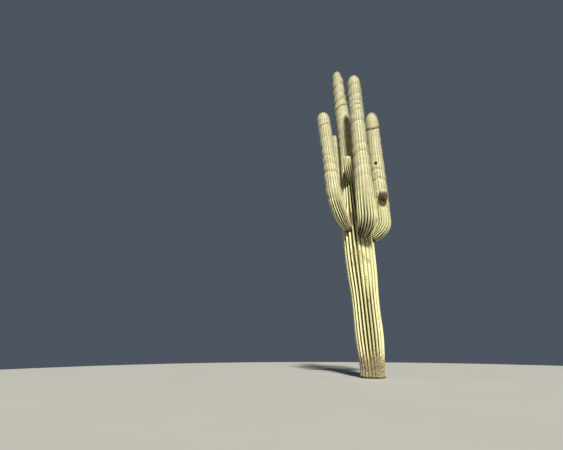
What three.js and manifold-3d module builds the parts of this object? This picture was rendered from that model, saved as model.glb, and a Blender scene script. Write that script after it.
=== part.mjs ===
// A saguaro cactus: a ribbed trunk with five arms and one young bud, cut flat at ground level.
// Millimetres, +Z up. The origin is the middle of the trunk's foot, and -Y is the plant's front.
import * as THREE from 'three';
import { mergeVertices } from 'three/addons/utils/BufferGeometryUtils.js';
import Module from 'manifold-3d';

const wasm = await Module();
wasm.setup();

// Space left between two pieces that grow together on the plant
const GAP = 0.3;
// A hollow cut for a neighbour is this much wider all round, so its slanted rib faces keep the gap
const SEAT_MARGIN = 0.5;
// Farthest that two rings of a stem's surface stand apart, on its straight stretch and in its elbow
const RING_STEP = 600;
const ELBOW_STEP = 130;
// Rings that round off a tip
const DOME_RINGS = 4;
// Where the rings on each side of a waist stand, as a multiple of its half width
const WAIST_EDGE = 1.6;
// A ring closer than this to its neighbour is left out
const LEAST_STEP = 12;
// How much of the rib depth is left at the very tip
const TIP_RIB_SHARE = 0.35;

// Radii are those of the rib crests, as [distance along the stem, radius], from its root to its tip.
// Waists are the narrow rings between years of growth, as [distance along the stem, share, half width].
const TRUNK = {
  height: 8700,
  leanBack: 270,
  leanLeft: 20,
  bow: 140,
  ribs: 22,
  ribDepth: 0.15,
  dome: 420,
  radii: [
    [0, 258], [130, 238], [700, 280], [1430, 286], [2100, 328], [2700, 346], [3250, 326], [3850, 270],
    [4800, 204], [5700, 180], [6900, 186], [7350, 172], [8000, 160], [8700, 150],
  ],
  waists: [[6960, 0.1, 60], [7600, 0.06, 50], [8200, 0.05, 50]],
};

// An arm leaves the trunk's middle line level at its root height, turns up within its reach and rise,
// and then climbs to its tip. Its lean is how far it drifts along X and Y for each unit of height.
// Its bearing is in degrees from +X towards +Y, and its aside is how far left of that line it starts.
const ARMS = {
  left_arm: {
    root: 2850, bearing: -126, reach: 625, rise: 1180, lean: [-0.045, 0.01], tip: 6360,
    ribs: 18, ribDepth: 0.15, dome: 290,
    radii: [
      [0, 96], [330, 108], [620, 160], [1000, 176], [1500, 168], [2300, 152], [3800, 162], [4300, 158],
    ],
    waists: [[3560, 0.09, 60]],
  },
  rear_arm: {
    root: 3500, bearing: 146, reach: 414, rise: 400, lean: [0.013, 0], tip: 6150,
    ribs: 16, ribDepth: 0.15, dome: 220,
    radii: [[0, 72], [330, 80], [620, 103], [1200, 113], [2900, 109]],
    waists: [[2200, 0.06, 50]],
  },
  front_arm: {
    root: 2770, bearing: -67, reach: 590, rise: 340, lean: [0.034, -0.025], tip: 7250,
    ribs: 18, ribDepth: 0.15, dome: 330,
    radii: [
      [0, 130], [340, 150], [600, 203], [950, 212], [1700, 190], [2700, 172], [4300, 166], [4900, 158],
    ],
    waists: [[3120, 0.07, 70], [4480, 0.05, 50]],
  },
  right_arm: {
    root: 2730, bearing: -4, reach: 575, rise: 410, lean: [0.046, 0], tip: 6420,
    ribs: 18, ribDepth: 0.15, dome: 320,
    radii: [[0, 110], [340, 124], [600, 172], [1000, 182], [2000, 172], [3300, 158], [4000, 158]],
    waists: [[3580, 0.16, 60]],
  },
  small_arm: {
    root: 4270, bearing: -112.7, aside: 125, reach: 372, rise: 325, lean: [0.055, 0], tip: 4893,
    ribs: 14, ribDepth: 0.16, dome: 115,
    radii: [[0, 66], [190, 80], [370, 103], [560, 109], [850, 105]],
    waists: [],
  },
};

// The long arms are split where their elbow ends and their upright stretch begins
const SPLIT_ARMS = ['left_arm', 'rear_arm', 'front_arm', 'right_arm'];

// The bud is a young arm, no more than a ball, on the front of the right arm
const BUD = {
  host: 'right_arm', height: 3722, bearing: -76, standoff: 236, length: 320, ribs: 12, ribDepth: 0.12,
  dome: 150, radii: [[0, 44], [45, 76], [120, 102], [200, 105], [320, 105]], ringStep: 60,
};

const FINISHES = {
  trunk: { color: 0xaba46b, roughness: 0.72, metalness: 0 },
  elbow: { color: 0x9d965f, roughness: 0.74, metalness: 0 },
  upright: { color: 0xc6c195, roughness: 0.8, metalness: 0 },
  bud: { color: 0x8a8055, roughness: 0.82, metalness: 0 },
};

/** Level unit direction of a bearing. */
function headingOf(bearing) {
  const turn = THREE.MathUtils.degToRad(bearing);
  return new THREE.Vector3(Math.cos(turn), Math.sin(turn), 0);
}

/** The trunk's middle line: up from the foot with a slight bow, drawing back towards the tip. */
class TrunkLine extends THREE.Curve {
  getPoint(t, target = new THREE.Vector3()) {
    const x = TRUNK.bow * t * (1 - t) ** 2 - TRUNK.leanLeft * t * t;
    return target.set(x, TRUNK.leanBack * t * t, TRUNK.height * t);
  }
}

/** An arm's middle line: a quarter of an ellipse out from the trunk, then a long climb with a drift. */
class ArmLine extends THREE.Curve {
  constructor({ root, bearing, reach, rise, lean, tip, aside = 0 }) {
    super();
    this.heading = headingOf(bearing);
    this.side = new THREE.Vector3(-this.heading.y, this.heading.x, 0);
    this.start = new TrunkLine().getPoint(root / TRUNK.height).addScaledVector(this.side, aside);
    Object.assign(this, { reach, rise, lean, climb: tip - root });
    this.elbowShare = rise / this.climb;
  }

  getPoint(t, target = new THREE.Vector3()) {
    const turn = Math.min(t / this.elbowShare, 1) * Math.PI / 2;
    const straight = Math.max(t - this.elbowShare, 0) * this.climb;
    const out = this.reach * Math.sin(turn);
    const up = this.rise * (1 - Math.cos(turn)) + straight;
    const x = this.heading.x * out + this.lean[0] * up;
    const y = this.heading.y * out + this.lean[1] * up;
    return target.set(x, y, up).add(this.start);
  }

  /** Distance along the line from its root to where the elbow ends. */
  get elbowLength() {
    const lengths = this.getLengths();
    return lengths[Math.ceil(this.elbowShare * (lengths.length - 1))];
  }
}

/** Smooth value at a place along a list of [place, value] pairs, by a cubic through each pair. */
function smoothAlong(pairs, place) {
  const last = pairs.length - 1;
  const at = THREE.MathUtils.clamp(place, pairs[0][0], pairs[last][0]);
  const found = pairs.findIndex(([stop], i) => i > 0 && at <= stop);
  const i = Math.max(found, 1);
  const slope = (k) => {
    const [a, b] = [pairs[Math.max(k - 1, 0)], pairs[Math.min(k + 1, last)]];
    return (b[1] - a[1]) / (b[0] - a[0]);
  };
  const [[x0, y0], [x1, y1]] = [pairs[i - 1], pairs[i]];
  const width = x1 - x0;
  const u = (at - x0) / width;
  const bend = (1 - u) * slope(i - 1) - u * slope(i);
  const steady = (1 - 2 * u) * (y1 - y0) / width;
  return y0 + (y1 - y0) * u + width * u * (1 - u) * (bend - steady);
}

/** A stem is a middle line with the sizes of the flesh round it. */
function makeStem(line, sizes) {
  return { ...sizes, line, length: line.getLength() };
}

/** Radius of the rib crests at a distance along a stem. */
function crestRadius(stem, distance) {
  const waist = stem.waists.reduce((share, [at, depth, half]) => (
    share * (1 - depth * Math.exp(-(((distance - at) / half) ** 2)))
  ), 1);
  const intoDome = Math.max(distance - (stem.length - stem.dome), 0) / stem.dome;
  return smoothAlong(stem.radii, distance) * waist * Math.sqrt(Math.max(1 - intoDome ** 2, 0));
}

/** Distances along a stem where its surface gets a ring, from one place to another. */
function ringStops(stem, from, to, step) {
  const shoulder = stem.length - stem.dome;
  const straight = Math.min(to, shoulder) - from;
  const count = Math.ceil(straight / step);
  const even = Array.from({ length: count + 1 }, (_, i) => from + straight * i / count);
  const waists = stem.waists.flatMap(([at, , half]) => [-1, 0, 1].map((k) => at + k * WAIST_EDGE * half));
  const dome = Array.from({ length: DOME_RINGS }, (_, i) => (
    shoulder + stem.dome * Math.sin((i + 1) / (DOME_RINGS + 1) * Math.PI / 2)
  ));
  const profile = stem.radii.map(([at]) => at);
  const inside = [...waists, ...dome, ...profile].filter((stop) => stop > from && stop < to);
  const kept = [];
  for (const stop of [...even, ...inside].sort((a, b) => a - b)) {
    if (kept.length === 0 || stop - kept.at(-1) >= LEAST_STEP) kept.push(stop);
  }
  return kept;
}

/** One ring of crest and groove points across a stem. */
function ringPoints(stem, distance, grow) {
  const u = distance / stem.length;
  const middle = stem.line.getPointAt(u);
  const along = stem.line.getTangentAt(u);
  const radius = crestRadius(stem, distance);
  const tipShare = THREE.MathUtils.clamp((stem.length - distance) / stem.dome, TIP_RIB_SHARE, 1);
  const groove = radius * (1 - stem.ribDepth * tipShare);
  const front = new THREE.Vector3().crossVectors(along, stem.side).normalize();
  return Array.from({ length: 2 * stem.ribs }, (_, i) => {
    const angle = Math.PI * i / stem.ribs;
    const reach = (i % 2 === 0 ? radius : groove) + grow;
    return middle.clone()
      .addScaledVector(stem.side, Math.cos(angle) * reach)
      .addScaledVector(front, Math.sin(angle) * reach);
  });
}

/** Closed surface of a stretch of a stem: flat at its start, and domed at its end if that is the tip. */
function stemGeometry(stem, from, to, step, grow = 0) {
  const stops = ringStops(stem, from, to, step);
  const rings = stops.map((distance) => ringPoints(stem, distance, grow));
  const around = 2 * stem.ribs;
  const points = rings.flat();
  const foot = points.push(stem.line.getPointAt(from / stem.length)) - 1;
  const end = stem.line.getPointAt(to / stem.length);
  const head = points.push(end.addScaledVector(stem.line.getTangentAt(to / stem.length), grow)) - 1;
  const faces = [];
  for (let i = 0; i < around; i += 1) {
    const next = (i + 1) % around;
    faces.push(foot, next, i);
    for (let k = 0; k < rings.length - 1; k += 1) {
      const [low, high] = [k * around, (k + 1) * around];
      faces.push(low + i, low + next, high + next, low + i, high + next, high + i);
    }
    const top = (rings.length - 1) * around;
    faces.push(head, top + i, top + next);
  }
  const geometry = new THREE.BufferGeometry();
  geometry.setAttribute('position', new THREE.Float32BufferAttribute(points.flatMap((p) => p.toArray()), 3));
  geometry.setIndex(faces);
  return geometry;
}

/** Solid for joining and cutting from a closed geometry. */
function toSolid(geometry) {
  const merged = mergeVertices(geometry);
  return new wasm.Manifold(new wasm.Mesh({
    numProp: 3,
    vertProperties: new Float32Array(merged.attributes.position.array),
    triVerts: new Uint32Array(merged.index.array),
  }));
}

/** Geometry of a solid's largest body, without the crumbs that a cut can leave. */
function toGeometry(solid) {
  const bodies = solid.decompose().sort((a, b) => b.volume() - a.volume());
  const mesh = bodies[0].getMesh();
  const geometry = new THREE.BufferGeometry();
  geometry.setAttribute('position', new THREE.Float32BufferAttribute(mesh.vertProperties, 3));
  geometry.setIndex(Array.from(mesh.triVerts));
  return geometry;
}

/** Named, coloured mesh. */
function piece(name, geometry, finish) {
  const mesh = new THREE.Mesh(geometry, new THREE.MeshStandardMaterial(FINISHES[finish]));
  mesh.name = name;
  return mesh;
}

/** The arm's stem, its cross direction level and square to its bearing. */
function armStem(sizes) {
  const line = new ArmLine(sizes);
  return makeStem(line, { ...sizes, side: line.side });
}

/** The bud: a short domed stem that starts level with its host arm's surface and stands straight up. */
function budStem(host) {
  const share = (BUD.height - host.line.start.z) / host.line.climb;
  const middle = host.line.getPoint(share).addScaledVector(headingOf(BUD.bearing), BUD.standoff);
  const half = new THREE.Vector3(0, 0, BUD.length / 2);
  const line = new THREE.LineCurve3(middle.clone().sub(half), middle.clone().add(half));
  return makeStem(line, { ...BUD, waists: [], side: new THREE.Vector3(1, 0, 0) });
}

const trunkStem = makeStem(new TrunkLine(), { ...TRUNK, side: new THREE.Vector3(1, 0, 0) });
const trunkSeat = toSolid(stemGeometry(trunkStem, 0, trunkStem.length, RING_STEP, SEAT_MARGIN));
const cactus = new THREE.Group();
cactus.add(piece('trunk', stemGeometry(trunkStem, 0, trunkStem.length, RING_STEP), 'trunk'));

/** Part of an arm that meets the trunk, cut to the trunk's ribs. */
function seatedOnTrunk(stem, to) {
  return toGeometry(toSolid(stemGeometry(stem, 0, to, ELBOW_STEP)).subtract(trunkSeat));
}

const stems = Object.fromEntries(Object.entries(ARMS).map(([name, sizes]) => [name, armStem(sizes)]));

/** Upright stretch of an arm, from the end of its elbow to its tip. */
function uprightGeometry(stem, grow = 0) {
  return stemGeometry(stem, stem.line.elbowLength + GAP / 2, stem.length, RING_STEP, grow);
}

for (const name of SPLIT_ARMS) {
  const stem = stems[name];
  cactus.add(piece(`${name}_elbow`, seatedOnTrunk(stem, stem.line.elbowLength - GAP / 2), 'elbow'));
  cactus.add(piece(`${name}_upright`, uprightGeometry(stem), 'upright'));
}
cactus.add(piece('small_arm', seatedOnTrunk(stems.small_arm, stems.small_arm.length), 'upright'));

const hostSeat = toSolid(uprightGeometry(stems[BUD.host], SEAT_MARGIN));
const bud = budStem(stems[BUD.host]);
const budSolid = toSolid(stemGeometry(bud, 0, bud.length, BUD.ringStep)).subtract(hostSeat);
cactus.add(piece('bud', toGeometry(budSolid), 'bud'));

export default cactus;
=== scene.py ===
"""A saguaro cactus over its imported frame: ribbed stems, spines, cork and scars, in a plain studio."""

import enum
import logging
import math
from dataclasses import dataclass, field, replace

import bmesh
import bpy
import numpy as np
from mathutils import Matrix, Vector
from mathutils.bvhtree import BVHTree


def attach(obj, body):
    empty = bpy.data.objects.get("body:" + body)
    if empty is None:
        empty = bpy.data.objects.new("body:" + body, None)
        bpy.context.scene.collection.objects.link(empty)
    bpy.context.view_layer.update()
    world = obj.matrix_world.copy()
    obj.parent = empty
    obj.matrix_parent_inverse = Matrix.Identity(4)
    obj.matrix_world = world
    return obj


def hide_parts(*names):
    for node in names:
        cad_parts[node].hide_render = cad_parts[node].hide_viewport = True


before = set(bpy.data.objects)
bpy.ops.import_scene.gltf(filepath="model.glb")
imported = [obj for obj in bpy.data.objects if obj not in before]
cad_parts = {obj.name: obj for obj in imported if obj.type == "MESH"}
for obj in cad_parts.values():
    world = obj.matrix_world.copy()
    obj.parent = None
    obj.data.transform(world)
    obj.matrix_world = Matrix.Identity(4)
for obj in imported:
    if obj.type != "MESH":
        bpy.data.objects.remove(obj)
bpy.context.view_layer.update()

log = logging.getLogger("saguaro")

BODY = "root"

# A rib is drawn by this many points of the cage: its crest, a flank, its groove and the other flank
POINTS_PER_RIB = 4
# Steps that a point's weight in a vertex group is rounded to
WEIGHT_STEPS = 250
# Rings of the cage closer than this are one
LEAST_RING_GAP = 0.008
# Radius of the far cylinder that relief is drawn towards, so that it moves straight out of a stem
FAR_CYLINDER = 100.0
# Height of the slow swells of the flesh, either way
SLOW_SWELL = 0.004
# Share of the bulges' height that they reach on the whole
MEAN_BULGE = 0.85
# Depth of an ordinary crease of growth, and the least and most of those that are drawn, from 0 to 1
PLAIN_CREASE = 0.5
DRAWN_CREASES = (0.2, 0.8)
# Drawn creases end under the tip by this share of the dome's length
TOP_CREASE = 0.6
# A skin's bare tip lies this many times its cover of spines under the frame's tip
TIP_COVERS = 2.5
# How far the cage's crests stand out and its flanks and grooves draw in, as shares of a groove's depth
CAGE_SHARES = {(0,): 0.2, (1, 3): -0.42, (2,): -1.08}
# How sharp the grooves' lines are, from 0 to 1
GROOVE_SHARPNESS = 0.55
# Points of the cage whose heights differ by less are on one ring
SAME_HEIGHT = 1e-4
# Shares of a stem's ring gap between its rings on old growth and on young
RING_SHARES = (1.4, 0.7)
# Share of the ring gap that a ring keeps from those that are set
LEAST_RING_SHARE = 0.3
# Angles up a dome, in degrees, and shares of a foot's height where the cage has a ring
DOME_ANGLES = (20, 38, 54, 67, 78)
FOOT_SHARES = (0.16, 0.32, 0.5, 0.72, 1.0)
# Half widths of a waist, beyond its dip, up to which the column gives up all its depth, and where none
WAIST_INNER = 1.5
WAIST_OUTER = 4
# Half widths of a waist, beyond its dip, within which no other crease is drawn
WAIST_CLEAR = 2.2
# Depths of waists between which their creases turn corky, the cork also painting shade in the crease
CORK_AND_SHADE_WAISTS = (0.08, 0.2)
# Share of a worn stretch's grooves that is as pale as its crests
WORN_PALENESS = 0.62
# Size and height of the lumps on a corky foot
FOOT_LUMP_SIZE = 0.045
FOOT_LUMP_HEIGHT = 0.016
# Size either way, waves round the stem and waves along it, in radians a metre, that its creases follow
CREASE_WAVES = ((0.012, 2, 9), (0.007, 5, 4))
# How corky the foot and the necks of the arms are, from 0 to 1
FOOT_CORK = 0.78
NECK_CORK = 0.8
# Distances past its start between which the cork of an arm's neck ends
NECK_ENDS = (0.06, 0.16)
# How squarely a skin faces the ground where the cork and painted shade under an elbow start and where they
# are full
UNDERSIDE_CORK_AND_SHADE = (0.58, 0.85)
# Cushions lower than this would press their spines into the ground
LEAST_CUSHION_HEIGHT = 0.05
# Points of the foot lower than this belong to its flat cut
CUT_HEIGHT = 0.006
# No cushion sits closer to its stem's tip than this
TIP_CLEAR = 0.004
# The way over a dome is longer than the dome's height by this share
DOME_ARC = 0.3
# Room between two crests at the tip, and which ribs bear cushions there: every one, second or fourth
CROWDING = ((0.02, 1), (0.009, 2), (0.004, 4))
# Least and most of a gap between two cushions, as shares of the even one
GAP_SPREAD = (0.9, 1.1)
# Length of the marks that carry a cushion's directions through the bend
MARK_LENGTH = 0.01
# How short spines are at the very tip, as a share of those deep in a crease
TIP_CREASE = 0.8
# No cushion sits within this many half heights of the nest hole
NEST_CLEAR = 1.6
# Samples taken along a stem's middle line
LINE_SAMPLES = 161

Profile = tuple[tuple[float, float], ...]


def tone(red: int, green: int, blue: int) -> tuple[float, float, float, float]:
    """Turns a display colour, 0 to 255 a channel, into the linear colour that shaders take.

    Args:
        red: Red channel.
        green: Green channel.
        blue: Blue channel.

    Returns:
        Linear red, green and blue, with full alpha.
    """
    linear = [((c / 255 + 0.055) / 1.055) ** 2.4 for c in (red, green, blue)]
    return (*linear, 1.0)


def smooth_along(pairs: Profile, places: np.ndarray) -> np.ndarray:
    """Smooth values along a list of pairs, by a cubic through each pair.

    Args:
        pairs: Place and value of each stop, in rising order of place.
        places: Where the value is wanted.

    Returns:
        One value for each place.
    """
    stops, values = np.array(pairs).T
    order = np.arange(len(stops))
    before, after = np.maximum(order - 1, 0), np.minimum(order + 1, len(stops) - 1)
    slopes = (values[after] - values[before]) / (stops[after] - stops[before])
    at = np.clip(places, stops[0], stops[-1])
    high = np.clip(np.searchsorted(stops, at), 1, len(stops) - 1)
    low = high - 1
    width = stops[high] - stops[low]
    change = values[high] - values[low]
    u = (at - stops[low]) / width
    bend = (1 - u) * slopes[low] - u * slopes[high]
    steady = (1 - 2 * u) * change / width
    return values[low] + change * u + width * u * (1 - u) * (bend - steady)


def smoothstep(value: np.ndarray, low: float, high: float) -> np.ndarray:
    """Eases from 0 at low to 1 at high.

    Args:
        value: What is eased.
        low: Where the result leaves 0.
        high: Where the result reaches 1.

    Returns:
        The eased share.
    """
    share = np.clip((value - low) / (high - low), 0, 1)
    return share * share * (3 - 2 * share)


def fade(away: np.ndarray, size: float, full: float, gone: float) -> np.ndarray:
    """Falls from 1 to 0 with the distance from a middle.

    Args:
        away: The distance.
        size: What the two shares are of.
        full: Share up to which the result is 1.
        gone: Share from which it is 0.

    Returns:
        What is left at each distance.
    """
    return 1 - smoothstep(away, size * full, size * gone)


def turn_of(places: np.ndarray) -> np.ndarray:
    """Angle of each place round the upright column, in radians from +X towards +Y."""
    return np.arctan2(places[:, 1], places[:, 0])


class Path:
    """Middle line of a stem, measured by distance from its root."""

    elbow_length = 0.0

    def points(self, share: np.ndarray) -> np.ndarray:
        """Points at shares of the line's own parameter, from 0 at the root to 1 at the tip."""
        raise NotImplementedError

    def line(self) -> tuple[np.ndarray, np.ndarray]:
        """Samples the line.

        Returns:
            Distances from the root, and the points there.
        """
        points = self.points(np.linspace(0, 1, LINE_SAMPLES))
        steps = np.linalg.norm(np.diff(points, axis=0), axis=1)
        return np.concatenate([[0], np.cumsum(steps)]), points

    @property
    def length(self) -> float:
        """Length of the line from root to tip."""
        return float(self.line()[0][-1])


@dataclass(frozen=True)
class TrunkPath(Path):
    """The trunk's middle line: up from the foot with a slight bow, drawing back towards the tip.

    Attributes:
        height: Its height.
        lean_back: How far its tip lies behind its foot.
        lean_left: How far its tip lies to the left of its foot.
        bow: Size of its bow to the right.
    """

    height: float = 8.70
    lean_back: float = 0.27
    lean_left: float = 0.02
    bow: float = 0.14

    def points(self, share: np.ndarray) -> np.ndarray:
        """Points at shares of the trunk's height."""
        x = self.bow * share * (1 - share) ** 2 - self.lean_left * share**2
        return np.stack([x, self.lean_back * share**2, self.height * share], axis=-1)


TRUNK_PATH = TrunkPath()


@dataclass(frozen=True)
class ArmPath(Path):
    """An arm's middle line: a quarter of an ellipse out from the trunk, then a long climb with a drift.

    Attributes:
        root: Height on the trunk's middle line where it starts.
        bearing: Level direction that it leaves in, in degrees from +X towards +Y.
        reach: How far out its elbow goes.
        rise: How high its elbow climbs.
        lean: How far it drifts along X and Y for each metre that it climbs.
        tip: Height of its tip.
        aside: How far its root lies beside the trunk's middle line, to the left of its bearing.
    """

    root: float
    bearing: float
    reach: float
    rise: float
    lean: tuple[float, float]
    tip: float
    aside: float = 0.0

    @property
    def heading(self) -> np.ndarray:
        """Level unit direction of the arm's bearing, from +X towards +Y."""
        turn = math.radians(self.bearing)
        return np.array([math.cos(turn), math.sin(turn), 0.0])

    @property
    def elbow_length(self) -> float:
        """Distance from the root to where the elbow ends.

        Returns:
            The distance along the middle line.
        """
        distances, _ = self.line()
        elbow = self.rise / (self.tip - self.root)
        return float(np.interp(elbow, np.linspace(0, 1, LINE_SAMPLES), distances))

    def points(self, share: np.ndarray) -> np.ndarray:
        """Points at shares of the arm's elbow and climb.

        Args:
            share: The shares, from 0 at the root to 1 at the tip.

        Returns:
            The points, one row each.
        """
        climb = self.tip - self.root
        elbow = self.rise / climb
        turn = np.minimum(share / elbow, 1) * math.pi / 2
        out = self.reach * np.sin(turn)
        up = self.rise * (1 - np.cos(turn)) + np.maximum(share - elbow, 0) * climb
        drift = np.array([*self.lean, 1.0])
        left = np.array([-self.heading[1], self.heading[0], 0.0])
        start = TRUNK_PATH.points(np.array(self.root / TRUNK_PATH.height)) + self.aside * left
        return start + out[..., None] * self.heading + up[..., None] * drift


@dataclass(frozen=True)
class BudPath(Path):
    """The bud's middle line: a short upright beside its host arm.

    Attributes:
        host: Middle line of the arm that bears it.
        height: Height of its middle.
        bearing: Level direction in which it lies from that arm, in degrees from +X towards +Y.
        standoff: How far its middle line lies from the arm's.
        size: Its length.
    """

    host: ArmPath
    height: float = 3.722
    bearing: float = -76.0
    standoff: float = 0.236
    size: float = 0.32

    def points(self, share: np.ndarray) -> np.ndarray:
        """Points at shares of the bud's length.

        Args:
            share: The shares, from 0 at the root to 1 at the tip.

        Returns:
            The points, one row each.
        """
        turn = math.radians(self.bearing)
        along_host = (self.height - self.host.root) / (self.host.tip - self.host.root)
        middle = self.host.points(np.array(along_host))
        middle = middle + self.standoff * np.array([math.cos(turn), math.sin(turn), 0.0])
        return middle + (share[..., None] - 0.5) * np.array([0, 0, self.size])


class Wire:
    """An output socket that takes part in Python arithmetic, each step adding its Math node."""

    def __init__(self, graph: "Graph", socket: bpy.types.NodeSocket) -> None:
        """Wraps a socket of a graph."""
        self.graph = graph
        self.socket = socket

    def _math(self, operation: str, first: "Wire | float", second: "Wire | float") -> "Wire":
        """Adds a Math node for one step."""
        return self.graph.node("ShaderNodeMath", {"operation": operation}, {0: first, 1: second})

    def __add__(self, other: "Wire | float") -> "Wire":
        """Sum."""
        return self._math("ADD", self, other)

    __radd__ = __add__

    def __sub__(self, other: "Wire | float") -> "Wire":
        """Difference."""
        return self._math("SUBTRACT", self, other)

    def __rsub__(self, other: float) -> "Wire":
        """Difference, from a number."""
        return self._math("SUBTRACT", other, self)

    def __mul__(self, other: "Wire | float") -> "Wire":
        """Product."""
        return self._math("MULTIPLY", self, other)

    __rmul__ = __mul__

    def ease(self, low: float, high: float) -> "Wire":
        """Eases from 0 at low to 1 at high.

        Args:
            low: Where the result leaves 0.
            high: Where the result reaches 1.

        Returns:
            The eased share.
        """
        settings = {"interpolation_type": "SMOOTHSTEP"}
        inputs = {"Value": self, "From Min": low, "From Max": high}
        return self.graph.node("ShaderNodeMapRange", settings, inputs)


class Graph:
    """Node graph of one material, from its coordinates to its shader."""

    def __init__(self, name: str) -> None:
        """Starts a material with a Principled shader and its output.

        Args:
            name: The material's name.
        """
        self.material = bpy.data.materials.new(name)
        self.material.use_nodes = True
        self.tree = self.material.node_tree
        self.shader = self.tree.nodes["Principled BSDF"]

    def node(self, kind: str, settings: dict | None = None, inputs: dict | None = None,
             out: int | str = 0) -> Wire:
        """Adds one node.

        Args:
            kind: The node's type.
            settings: Properties of the node, which are set first.
            inputs: Values or wires of its sockets, by name or number.
            out: Name or number of the output that is wanted.

        Returns:
            That output.
        """
        made = self.tree.nodes.new(kind)
        for name, value in (settings or {}).items():
            setattr(made, name, value)
        for name, value in (inputs or {}).items():
            if isinstance(value, Wire):
                self.tree.links.new(value.socket, made.inputs[name])
            else:
                made.inputs[name].default_value = value
        return Wire(self, made.outputs[out])

    def place(self, stretch: tuple[float, float, float] = (1, 1, 1)) -> Wire:
        """Object coordinates, stretched along each axis."""
        coordinates = self.node("ShaderNodeTexCoord", out="Object")
        return self.node("ShaderNodeMapping", inputs={"Vector": coordinates, "Scale": stretch})

    def attribute(self, name: str) -> Wire:
        """A number that the mesh holds at each of its points."""
        return self.node("ShaderNodeAttribute", {"attribute_name": name}, out="Fac")

    def noise(self, place: Wire, scale: float, detail: float = 3, rough: float = 0.55) -> Wire:
        """Cloudy noise from 0 to 1."""
        inputs = {"Vector": place, "Scale": scale, "Detail": detail, "Roughness": rough}
        return self.node("ShaderNodeTexNoise", None, inputs)

    def mix(self, first: "Wire | tuple", second: "Wire | tuple", share: "Wire | float") -> Wire:
        """Blend of two colours, the share being that of the second."""
        # The node has sockets of one name for each kind of data, and these are the ones for colours
        inputs = {0: share, 6: first, 7: second}
        return self.node("ShaderNodeMix", {"data_type": "RGBA", "clamp_factor": True}, inputs, out=2)

    def feed(self, socket: str, value: "Wire | float | tuple") -> None:
        """Gives a shader socket its wire or its constant.

        Args:
            socket: The socket's name.
            value: What it is given.
        """
        if isinstance(value, Wire):
            self.tree.links.new(value.socket, self.shader.inputs[socket])
        else:
            self.shader.inputs[socket].default_value = value

    def bump(self, height: Wire, strength: float, distance: float) -> None:
        """Feeds the shader's normal with relief from a height."""
        inputs = {"Height": height, "Strength": strength, "Distance": distance}
        self.feed("Normal", self.node("ShaderNodeBump", None, inputs))


@dataclass(frozen=True)
class SkinFinish:
    """Waxy ribbed skin: grooves darkened with painted shade, paler crests, mottled patches, cork, and
    painted shade in creases and under elbows.

    Attributes:
        name: The material's name.
        crest: Colour on top of the ribs.
        flank: Colour of the ribs' sides.
        groove: Colour deep between the ribs, near black as painted shade.
        patch: Colour of old, mottled patches.
        young: Colour of young growth, which its spines hide.
        crease_shade: Painted shade in the creases between young growth's bands, also laid in random belts.
        patchiness: How much of the skin the patches cover.
        cork_pale: Colour of cork on its plates; on the arms dark enough to paint shade under the elbows.
        cork_dark: Colour of cork in its cracks; on the arms near black as painted shade.
    """

    name: str
    crest: tuple
    flank: tuple
    groove: tuple
    patch: tuple
    young: tuple
    crease_shade: tuple
    patchiness: float
    cork_pale: tuple = tone(178, 160, 128)
    cork_dark: tuple = tone(78, 60, 44)

    def build(self) -> bpy.types.Material:
        """Makes the material.

        Returns:
            The material, with its nodes.
        """
        graph = Graph(self.name)
        place = graph.place()
        ridge = graph.attribute("crest") * 0.5 + 0.5
        youth = graph.attribute("youth")
        fine = graph.noise(place, 60, 4)
        streaks = graph.noise(graph.place((26, 26, 1.6)), 1, 3)
        clouds = graph.noise(place, 2.2, 5, 0.62)
        belts = graph.noise(graph.place((2.5, 2.5, 22)), 1, 4, 0.6)
        # The grooves' near-black colour is painted shade between the ribs
        body = graph.mix(self.groove, self.flank, ridge.ease(0.18, 0.6))
        body = graph.mix(body, self.crest, ridge.ease(0.4, 0.85) * (0.5 + streaks * 0.9))
        patches = clouds.ease(0.72 - self.patchiness, 0.86 - self.patchiness) * (1 - youth * 0.8)
        body = graph.mix(body, self.patch, patches * (0.2 + fine * 0.9))
        body = graph.mix(body, self.young, youth * (0.88 + fine * 0.2))
        broken = graph.noise(place, 5, 2).ease(0.36, 0.62)
        # Painted shade in the creases of growth and in random belts across young growth
        crease_shade_share = (1 - graph.attribute("band")).ease(0.1, 0.9) * broken * 0.6 + belts.ease(0.46, 0.7) * 0.35
        body = graph.mix(body, self.crease_shade, crease_shade_share * youth)
        cracks = graph.node("ShaderNodeTexVoronoi", {"feature": "DISTANCE_TO_EDGE"},
                            {"Vector": graph.place((1, 1, 0.6)), "Scale": 42})
        frayed = (graph.noise(graph.place((7, 7, 3)), 1, 3) + graph.noise(place, 34, 4)) * 0.5 - 0.5
        # This share is cork, and painted shade under elbows and in waist creases
        cork = (graph.attribute("cork") + frayed * 1.3).ease(0.32, 0.68)
        cork_and_shade_colour = graph.mix(self.cork_dark, self.cork_pale, cracks.ease(0.0, 0.16) * (0.45 + fine * 0.9))
        graph.feed("Base Color", graph.mix(body, cork_and_shade_colour, cork))
        graph.feed("Roughness", 0.5 + fine * 0.2 + cork * 0.2)
        graph.feed("Specular IOR Level", 0.35)
        relief = fine * 0.4 + streaks * 0.5 + cork * cracks.ease(0.0, 0.1) * 1.5
        graph.bump(relief, 0.5, 0.006)
        return graph.material


@dataclass(frozen=True)
class HardFinish:
    """Plain-coloured horn, felt or cork, with a grain that shows in its gloss and relief.

    Attributes:
        name: The material's name.
        colour: Its colour.
        roughness: Its least roughness.
        grain: Scale of its grain, in grains a metre.
        relief: Height of its grain in metres.
    """

    name: str
    colour: tuple
    roughness: float
    grain: float
    relief: float

    def build(self) -> bpy.types.Material:
        """Makes the material.

        Returns:
            The material, with its nodes.
        """
        graph = Graph(self.name)
        grain = graph.noise(graph.place(), self.grain, 3)
        graph.feed("Base Color", self.colour)
        graph.feed("Roughness", self.roughness + grain * 0.25)
        graph.bump(grain, 0.4, self.relief)
        return graph.material


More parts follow.
